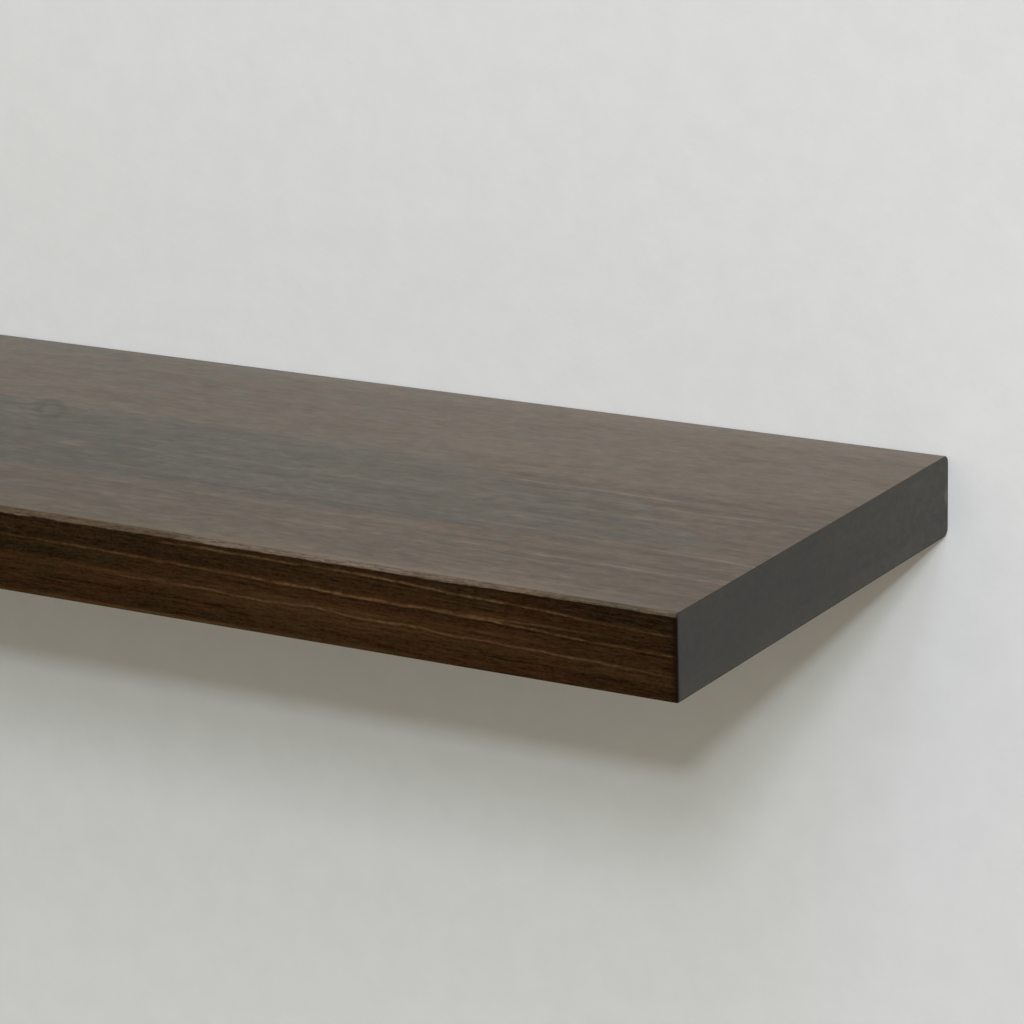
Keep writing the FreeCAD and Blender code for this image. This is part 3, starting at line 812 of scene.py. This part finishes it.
def end_material():
    """End grain: the stain soaks in almost black, with the rings seen end on."""
    material, w, place = new_material("walnut_stain_ends")
    x, y, z = w.split(place)
    from_pith = w.add(y, 120)
    bow = w.mul(from_pith, from_pith, 0.0006)
    rings = w.grain(0, (y, 0.02), (w.add(z, bow), 0.9), 3, 0.6)
    pores = w.grain(0, (y, 1.6), (z, 1.6), 3, 0.6)
    cloud = w.grain(0, (y, 0.03), (z, 0.06), 3)
    mottle = w.grain(3, (y, 0.2), (z, 0.26), 3, 0.6)
    tone = w.blend((rings, 0.2), (pores, 0.16), (cloud, 0.24), (mottle, 0.4))
    colour = w.mix(w.span(y, -150, -2, 0, 0.9), w.ramp(tone, END_DARK), w.ramp(tone, END_PALE))
    less_blue = w.scaled(END_LESS_BLUE, w.span(z, -12, 8, 0.35, 1))
    colour = w.vector("SUBTRACT", colour, less_blue)
    colour = w.vector("MAXIMUM", colour, (0, 0, 0))
    colour = w.tinted(colour, END_LOWER_LIGHT, w.span(z, -8, -14))
    colour = w.tinted(colour, END_REAR_LIGHT, w.mul(w.span(y, -48, -4), w.span(z, 2, 15)))
    rim = w.math("MAXIMUM", w.span(z, 15, 18.6), w.fall(z, -18.6, -15.5))
    colour = w.mix(w.mul(rim, 0.35), colour, END_RIM_COLOUR)
    # Darker towards the front corner.
    colour = w.mix(w.span(y, *END_CORNER_Y, 0.9, 0), colour, CORNER_DARKENING)

    off_y, off_z = w.sub(y, SCUFF_PLACE[0]), w.sub(z, SCUFF_PLACE[1])
    ragged = w.swing(w.grain(0, y, z, 3), 2.2)
    spread = w.add(w.absolute(w.mul(off_y, 0.9)), w.absolute(w.mul(off_z, 0.22)), ragged)
    scuff = w.mul(w.fall(spread, 0.5, 2), w.span(x, 0, 1))
    colour = w.mix(w.mul(scuff, 0.55), colour, SCUFF_COLOUR)
    rough = w.span(pores, 0.3, 0.7, 0.46, 0.56)
    relief = w.bump(w.blend((pores, 0.6), (rings, 0.4)), 0.25, 0.08 * MM)
    finish_surface(w, colour, rough, relief, Specular_IOR_Level=0.5)
    return material


def raw_wood_material():
    """Bare softwood inside the pocket and the bores, stained a little way in."""
    material, w, place = new_material("raw_softwood_cut")
    x, y, z = w.split(place)
    fine = w.grain((x, 0.06), (y, 1.3), (z, 1.3), 4, 0.6)
    cutter_marks = w.math("SINE", w.mul(x, 3.1))
    tone = w.add(fine, w.mul(cutter_marks, 0.03))
    colour = w.mix(w.span(y, -9, 0.5, 0, 0.85), w.ramp(tone, RAW_WOOD), RAW_WOOD_STAINED)
    finish_surface(w, colour, w.span(fine, 0.3, 0.7, 0.7, 0.85), w.bump(tone, 0.3, 0.15 * MM))
    return material


# ============================== metal
def coat_material():
    """Black satin powder coat on the bar."""
    material, w, place = new_material("bar_powder_coat")
    peel = w.noise(w.scaled(place, 0.9), 3)
    patch = w.noise(w.scaled(place, 0.02), 3)
    colour = w.ramp(w.blend((peel, 0.5), (patch, 0.5)), BAR_COAT)
    finish_surface(w, colour, w.span(patch, 0.3, 0.7, 0.46, 0.6), w.bump(peel, 0.35, 0.08 * MM))
    return material


def rod_material():
    """Bright drawn steel: fine lines along the rod and faint handling marks."""
    material, w, place = new_material("rod_drawn_steel")
    x, y, z = w.split(place)
    draw = w.grain((x, 5), (y, 0.05), (z, 5), 4, 0.6)
    haze = w.noise(w.scaled(place, 0.05), 4, 0.6)
    colour = w.ramp(w.blend((draw, 0.45), (haze, 0.55)), ROD_STEEL)
    rough = w.span(w.blend((draw, 0.4), (haze, 0.6)), 0.35, 0.65, 0.22, 0.4)
    finish_surface(w, colour, rough, w.bump(draw, 0.2, 0.03 * MM), Metallic=1)
    return material


def oxide_material():
    """Black oxide on the socket screws."""
    material, w, place = new_material("screw_black_oxide")
    grain = w.noise(w.scaled(place, 2.5), 4, 0.6)
    patch = w.noise(w.scaled(place, 0.35), 3)
    colour = w.ramp(w.blend((grain, 0.4), (patch, 0.6)), SCREW_OXIDE)
    rough = w.span(patch, 0.3, 0.7, 0.34, 0.5)
    finish_surface(w, colour, rough, w.bump(grain, 0.25, 0.03 * MM), Metallic=1)
    return material


def brass_material():
    """Turned brass of the threaded inserts, a little tarnished."""
    material, w, place = new_material("insert_turned_brass")
    x, y, z = w.split(place)
    turn = w.grain((x, 0.4), (y, 0.4), (z, 7), 3)
    haze = w.noise(w.scaled(place, 0.3), 4, 0.6)
    colour = w.ramp(w.blend((turn, 0.3), (haze, 0.7)), INSERT_BRASS)
    rough = w.span(haze, 0.3, 0.7, 0.26, 0.42)
    finish_surface(w, colour, rough, w.bump(turn, 0.2, 0.03 * MM), Metallic=1)
    return material


# ============================== plank mesh
def arc(centre_y, centre_z, radius, start, end, steps):
    """Points of an arc in the y-z plane, angles in degrees from +y towards +z."""
    points = []
    for i in range(steps + 1):
        a = math.radians(start + (end - start) * i / steps)
        points.append((centre_y + radius * math.cos(a), centre_z + radius * math.sin(a)))
    return points


def between(a, b, steps):
    """Points strictly between a and b."""
    return [tuple(p + (q - p) * i / steps for p, q in zip(a, b)) for i in range(1, steps)]


def section(low, high, radii):
    """The plank's outline in the y-z plane, from the bottom rear round by the front and the top."""
    front, back = low[1], high[1]
    bottom, top = low[2], high[2]
    front_top, front_bottom, rear = radii
    under_rear = arc(back - rear, bottom + rear, rear, 0, -90, REAR_ARC_STEPS)
    under_front = arc(front + front_bottom, bottom + front_bottom, front_bottom, 270, 180, LOW_ARC_STEPS)
    over_front = arc(front + front_top, top - front_top, front_top, 180, 90, TOP_ARC_STEPS)
    over_rear = arc(back - rear, top - rear, rear, 90, 0, REAR_ARC_STEPS)
    loop = list(under_rear)
    loop += between(under_rear[-1], under_front[0], UNDERSIDE_STEPS) + under_front
    loop += between(under_front[-1], over_front[0], FRONT_STEPS) + over_front
    loop += between(over_front[-1], over_rear[0], TOP_STEPS) + over_rear
    return loop


def stations(low_x, high_x):
    """x of each cross-section between the two end arrises."""
    count = int(round((high_x - low_x) / STATION_STEP))
    return [low_x + (high_x - low_x) * i / count for i in range(count + 1)]


def wobble(x, seed, wavelength):
    """Smooth seeded noise along the plank, -1 to 1."""
    return noise.noise(Vector((x / wavelength, seed * 7.31, 0.5)))


def eased(radius, from_end):
    """How far a rounded side has drawn in, this far from the end of the plank."""
    short = max(radius - from_end, 0.0)
    return radius - math.sqrt(radius * radius - short * short)


def read_curve(x, points):
    """The value at x of straight runs between points."""
    for (x0, v0), (x1, v1) in zip(points, points[1:]):
        if x <= x1:
            return v0 + (v1 - v0) * (x - x0) / (x1 - x0)
    return points[-1][1]


def plank_mesh(low, high):
    """The solid plank without its holes, in mm."""
    mesh = bmesh.new()
    rings = []
    for x in stations(low[0] + END_LOW_ARRIS, high[0] - END_LOW_ARRIS):
        front_top = read_curve(x, FRONT_TOP_ARRIS) * (1.0 + ARRIS_SWING * wobble(x, 1, TOP_WOBBLE_LENGTH))
        soft_low = 1.0 + ARRIS_SWING * (1.0 + wobble(x, 2, LOW_WOBBLE_LENGTH))
        radii = (front_top, FRONT_BOTTOM_ARRIS * soft_low, REAR_ARRIS)
        rings.append([mesh.verts.new((x, y, z)) for y, z in section(low, high, radii)])
    for a, b in zip(rings, rings[1:]):
        join_rings(mesh, a, b)
    middle_y = (low[1] + high[1]) / 2
    middle_z = (low[2] + high[2]) / 2
    for x_end, which in ((low[0], 0), (high[0], -1)):
        outward = 1.0 if x_end > 0 else -1.0
        last = rings[which]
        for from_end in END_RINGS:
            x = x_end - outward * from_end
            sides = eased(END_ARRIS, from_end)
            under = eased(END_LOW_ARRIS, from_end)
            ring = []
            for v in rings[which]:
                y = v.co.y - math.copysign(sides, v.co.y - middle_y)
                z = v.co.z + (under if v.co.z < middle_z else -sides)
                ring.append(mesh.verts.new((x, y, z)))
            if outward > 0:
                join_rings(mesh, last, ring)
            else:
                join_rings(mesh, ring, last)
            last = ring
        mesh.faces.new(last if outward > 0 else list(reversed(last)))
    bmesh.ops.recalc_face_normals(mesh, faces=mesh.faces)
    return mesh


def join_rings(mesh, a, b):
    """Quads between two closed rings of vertices."""
    for i in range(len(a)):
        j = (i + 1) % len(a)
        mesh.faces.new((a[i], a[j], b[j], b[i]))


def to_object(mesh, name, materials):
    """A bmesh in mm as a Blender object in metres."""
    data = bpy.data.meshes.new(name)
    mesh.transform(Matrix.Scale(MM, 4))
    mesh.to_mesh(data)
    mesh.free()
    made = bpy.data.objects.new(name, data)
    bpy.context.scene.collection.objects.link(made)
    for material in materials:
        data.materials.append(material)
    return made


def capped(mesh, rings, name, materials):
    """Joins the rings in order, closes both ends and makes the object."""
    for a, b in zip(rings, rings[1:]):
        join_rings(mesh, a, b)
    mesh.faces.new(rings[0])
    mesh.faces.new(list(reversed(rings[-1])))
    bmesh.ops.recalc_face_normals(mesh, faces=mesh.faces)
    return to_object(mesh, name, materials)


def turned(name, along, centre, profile, materials):
    """A closed turned solid: profile is (distance along the axis, radius), centre in mm."""
    mesh = bmesh.new()
    rings = []
    for distance, radius in profile:
        ring = []
        for i in range(ROUND_STEPS):
            a = 2 * math.pi * i / ROUND_STEPS
            u, v = radius * math.cos(a), radius * math.sin(a)
            spot = (u, distance, v) if along == "y" else (u, v, distance)
            ring.append(mesh.verts.new(Vector(spot) + Vector(centre)))
        rings.append(ring)
    return capped(mesh, rings, name, materials)


def pocket_cutter(name, half_x, half_z, depth, materials):
    """The stopped pocket's solid, open past the plank's back."""
    mesh = bmesh.new()
    outline = []
    cx, cz = half_x - POCKET_CORNER, half_z - POCKET_CORNER
    for x, z, start in ((cx, cz, 0), (-cx, cz, 90), (-cx, -cz, 180), (cx, -cz, 270)):
        outline += arc(x, z, POCKET_CORNER, start, start + 90, POCKET_ARC_STEPS)
    rings = [[mesh.verts.new((px, y, pz)) for px, pz in outline] for y in (-depth, CUT_OVERRUN)]
    return capped(mesh, rings, name, materials)


def cut(body, cutter):
    """Takes the cutter out of the body. The cut faces keep the cutter's material."""
    step = body.modifiers.new("cut", "BOOLEAN")
    step.operation = "DIFFERENCE"
    step.solver = "EXACT"
    step.object = cutter
    step.material_mode = "TRANSFER"
    bpy.context.view_layer.update()
    done = body.evaluated_get(bpy.context.evaluated_depsgraph_get())
    fresh = bpy.data.meshes.new_from_object(done)
    body.modifiers.clear()
    old = body.data
    body.data = fresh
    fresh.name = old.name + "_cut"
    bpy.data.meshes.remove(old)
    bpy.data.objects.remove(cutter)


def node_box(name):
    """A CAD node's corners in mm."""
    low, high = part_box(name)
    return [v / MM for v in low], [v / MM for v in high]


def build_plank(face_wood, front_wood, end_wood, raw_wood):
    """The plank with its pocket, bores and lock holes, in place of the CAD board."""
    low, high = node_box("shelf_board")
    plank = to_object(plank_mesh(low, high), "plank", [face_wood, front_wood, end_wood])
    arris_start = (high[0] - END_LOW_ARRIS) * MM
    for face in plank.data.polygons:
        if abs(face.center.x) > arris_start and face.normal.z < -0.3:
            face.material_index = 1
        elif abs(face.normal.x) > 0.35:
            face.material_index = 2
        elif face.normal.y < -0.12:
            face.material_index = 1

    bar_low, bar_high = node_box("bracket_bar")
    depth = -bar_low[1] + POCKET_FLOOR_CLEARANCE
    half_x = bar_high[0] + POCKET_SIDE_CLEARANCE
    half_z = bar_high[2] + POCKET_SIDE_CLEARANCE
    cut(plank, pocket_cutter("pocket_cut", half_x, half_z, depth, [raw_wood]))

    for name in sorted(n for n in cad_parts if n.startswith("support_rod_")):
        rod_low, rod_high = node_box(name)
        radius = (rod_high[0] - rod_low[0]) / 2 + BORE_CLEARANCE
        x = (rod_low[0] + rod_high[0]) / 2
        tip = rod_low[1] - BORE_TIP_CLEARANCE
        profile = (
            (tip, radius),
            (-depth - BORE_MOUTH_CHAMFER, radius),
            (-depth, radius + BORE_MOUTH_CHAMFER),
            (CUT_OVERRUN - depth, radius + BORE_MOUTH_CHAMFER + CUT_OVERRUN),
        )
        cut(plank, turned(name + "_cut", "y", (x, 0, 0), profile, [raw_wood]))

    for name in sorted(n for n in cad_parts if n.startswith("lock_insert_")):
        ins_low, ins_high = node_box(name)
        x = (ins_low[0] + ins_high[0]) / 2
        y = (ins_low[1] + ins_high[1]) / 2
        profile = (
            (low[2] - CUT_OVERRUN, FLANGE_RADIUS),
            (FLANGE_FLOOR, FLANGE_RADIUS),
            (FLANGE_FLOOR, INSERT_RADIUS),
            (INSERT_TOP, INSERT_RADIUS),
            (INSERT_TOP, LOCK_SHANK_RADIUS),
            (0.0, LOCK_SHANK_RADIUS),
        )
        cut(plank, turned(name + "_cut", "z", (x, y, 0), profile, [raw_wood]))

    data = plank.data
    data.shade_smooth()
    data.set_sharp_from_angle(angle=SMOOTH_ANGLE)
    weighted = plank.modifiers.new("flat faces", "WEIGHTED_NORMAL")
    weighted.keep_sharp = True
    weighted.weight = 100
    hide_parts("shelf_board")
    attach(plank, "shelf")
    return plank


# ============================== stage
def seen_directly(w):
    """1 for rays from the camera, a mirror or glass, 0 for soft light."""
    path = w.node("ShaderNodeLightPath").outputs
    seen = w.math("MAXIMUM", path["Is Camera Ray"], path["Is Glossy Ray"])
    return w.math("MAXIMUM", seen, path["Is Transmission Ray"])


def one_sided(name, colour, unevenness, dim=1.0, seen=None):
    """Pale matt paint that shows only from its front and lets shadow rays through from behind.

    Soft light finds it dimmer by dim, and the camera sees it in the colour seen, where there is one.
    """
    material, w, place = new_material(name)
    mottle = w.noise(w.scaled(place, 0.05), 5.0, 0.6)
    paint = w.mix(w.span(mottle, 0.3, 0.7), tuple(c * (1 - unevenness) for c in colour), colour)
    paint = w.mix(seen_directly(w), tuple(c * dim for c in colour), paint)
    if seen is not None:
        paint = w.mix(w.node("ShaderNodeLightPath").outputs["Is Camera Ray"], paint, seen)
    matt = w.node("ShaderNodeBsdfDiffuse")
    w.put(matt.inputs["Color"], paint)
    stipple = w.noise(w.scaled(place, 0.16), 3.0, 0.6)
    w.put(matt.inputs["Normal"], w.bump(stipple, 0.14, 0.8 * MM))
    clear = w.node("ShaderNodeBsdfTransparent")
    behind = w.node("ShaderNodeNewGeometry").outputs["Backfacing"]
    shadow = w.node("ShaderNodeLightPath").outputs["Is Shadow Ray"]
    hidden = w.math("MAXIMUM", behind, shadow)
    shown = w.fill(w.node("ShaderNodeMixShader"), hidden, matt.outputs[0], clear.outputs[0])
    out = w.node("ShaderNodeOutputMaterial")
    w.put(out.inputs["Surface"], shown)
    return material


def sheet(name, corners, faces, material):
    """A flat stage sheet, in metres."""
    data = bpy.data.meshes.new(name)
    data.from_pydata(corners, [], faces)
    data.materials.append(material)
    made = bpy.data.objects.new(name, data)
    bpy.context.scene.collection.objects.link(made)
    return made


def lamp(name, aside, rise, distance, width, height, level, colour):
    """A soft lamp aimed at the target. Its power gives the level on a surface that faces it there."""
    a, e = math.radians(aside), math.radians(rise)
    toward = Vector((math.sin(a) * math.cos(e), -math.cos(a) * math.cos(e), math.sin(e)))
    data = bpy.data.lights.new(name, "AREA")
    data.shape = "ELLIPSE"
    data.size = width
    data.size_y = height
    data.color = colour
    data.energy = level * (math.pi * distance) ** 2
    made = bpy.data.objects.new(name, data)
    made.location = Vector(LAMP_TARGET) + toward * distance
    made.rotation_mode = "QUATERNION"
    made.rotation_quaternion = (-toward).to_track_quat("-Z", "Y")
    bpy.context.scene.collection.objects.link(made)
    return made


def build_wall():
    """The wall, open behind the bracket bar, so that light from behind reaches the bar's screws."""
    low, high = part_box("bracket_bar")
    places_x = (-STAGE_REACH, low[0] + MM, high[0] - MM, STAGE_REACH)
    places_z = (FLOOR_HEIGHT, low[2] + MM, high[2] - MM, STAGE_REACH)
    corners = [(x, WALL_GAP * MM, z) for z in places_z for x in places_x]
    faces = []
    for row in range(3):
        for column in range(3):
            first = row * 4 + column
            if (row, column) != (1, 1):
                faces.append((first, first + 1, first + 5, first + 4))
    sheet("wall", corners, faces, one_sided("wall_paint", WALL_COLOUR, PAINT_UNEVENNESS))


def build_floor():
    """The floor, far enough that its edge is never seen."""
    far = FLOOR_REACH
    corners = [(x, y, FLOOR_HEIGHT) for x, y in ((-far, -far), (far, -far), (far, far), (-far, far))]
    paint = one_sided("floor_paint", FLOOR_COLOUR, PAINT_UNEVENNESS, FLOOR_DIM, FLOOR_SEEN)
    sheet("floor", corners, [(0, 1, 2, 3)], paint)


def build_stage():
    """Wall, floor, lamps and the light from the room."""
    build_wall()
    build_floor()

    # the key, second and rear lamps light the wood but leave no glare on it, whichever side it is seen
    # from
    lamp("key", *KEY).visible_glossy = False
    lamp("second", *SECOND).visible_glossy = False
    lamp("high", *HIGH)
    rear = lamp("rear_fill", *REAR_FILL)
    rear.visible_glossy = False
    rear.data.cycles.use_multiple_importance_sampling = False

    world = bpy.data.worlds.new("room_light")
    bpy.context.scene.world = world
    world.use_nodes = True
    world.cycles.sampling_method = "NONE"
    w = Wiring(world.node_tree)
    east, north, rise = w.split(w.node("ShaderNodeTexCoord").outputs["Generated"])
    above = w.scaled(ROOM_ABOVE, w.math("MAXIMUM", rise, 0.0))
    side = w.scaled(ROOM_SIDE, w.sub(1.0, w.math("ABSOLUTE", rise)))
    right = w.scaled(ROOM_RIGHT, w.math("MAXIMUM", east, 0.0))
    room = w.vector("ADD", above, w.vector("ADD", side, right))
    glow = w.node("ShaderNodeBackground")
    w.put(glow.inputs["Color"], w.mix(seen_directly(w), room, BACKDROP))
    out = w.node("ShaderNodeOutputWorld")
    w.put(out.inputs["Surface"], glow.outputs[0])


def build_camera():
    """The camera at the photograph's place, turned by yaw, pitch and roll."""
    yaw, pitch, roll = CAMERA_YAW, CAMERA_PITCH, CAMERA_ROLL
    ahead = Vector((-math.sin(yaw) * math.cos(pitch), math.cos(yaw) * math.cos(pitch), -math.sin(pitch)))
    right = Vector((math.cos(yaw), math.sin(yaw), 0.0))
    up = right.cross(ahead)
    turned_right = right * math.cos(roll) + up * math.sin(roll)
    turned_up = up * math.cos(roll) - right * math.sin(roll)
    data = bpy.data.cameras.new("camera")
    data.lens = CAMERA_LENS
    data.sensor_width = CAMERA_SENSOR
    made = bpy.data.objects.new("camera", data)
    axes = Matrix((turned_right, turned_up, -ahead)).transposed()
    made.matrix_world = Matrix.Translation(CAMERA_PLACE) @ axes.to_4x4()
    bpy.context.scene.collection.objects.link(made)
    bpy.context.scene.camera = made


def dress_nodes(prefix, material):
    """Gives a better finish to the CAD nodes whose names start so."""
    for name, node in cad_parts.items():
        if name.startswith(prefix):
            for place in node.material_slots:
                place.material = material


# ============================== the scene
build_camera()
build_stage()
build_plank(top_material(), front_material(), end_material(), raw_wood_material())
dress_nodes("bracket_bar", coat_material())
dress_nodes("support_rod_", rod_material())
black_oxide = oxide_material()
dress_nodes("rod_screw_", black_oxide)
dress_nodes("lock_screw_", black_oxide)
dress_nodes("lock_insert_", brass_material())
bpy.context.scene.view_settings.view_transform = "Standard"
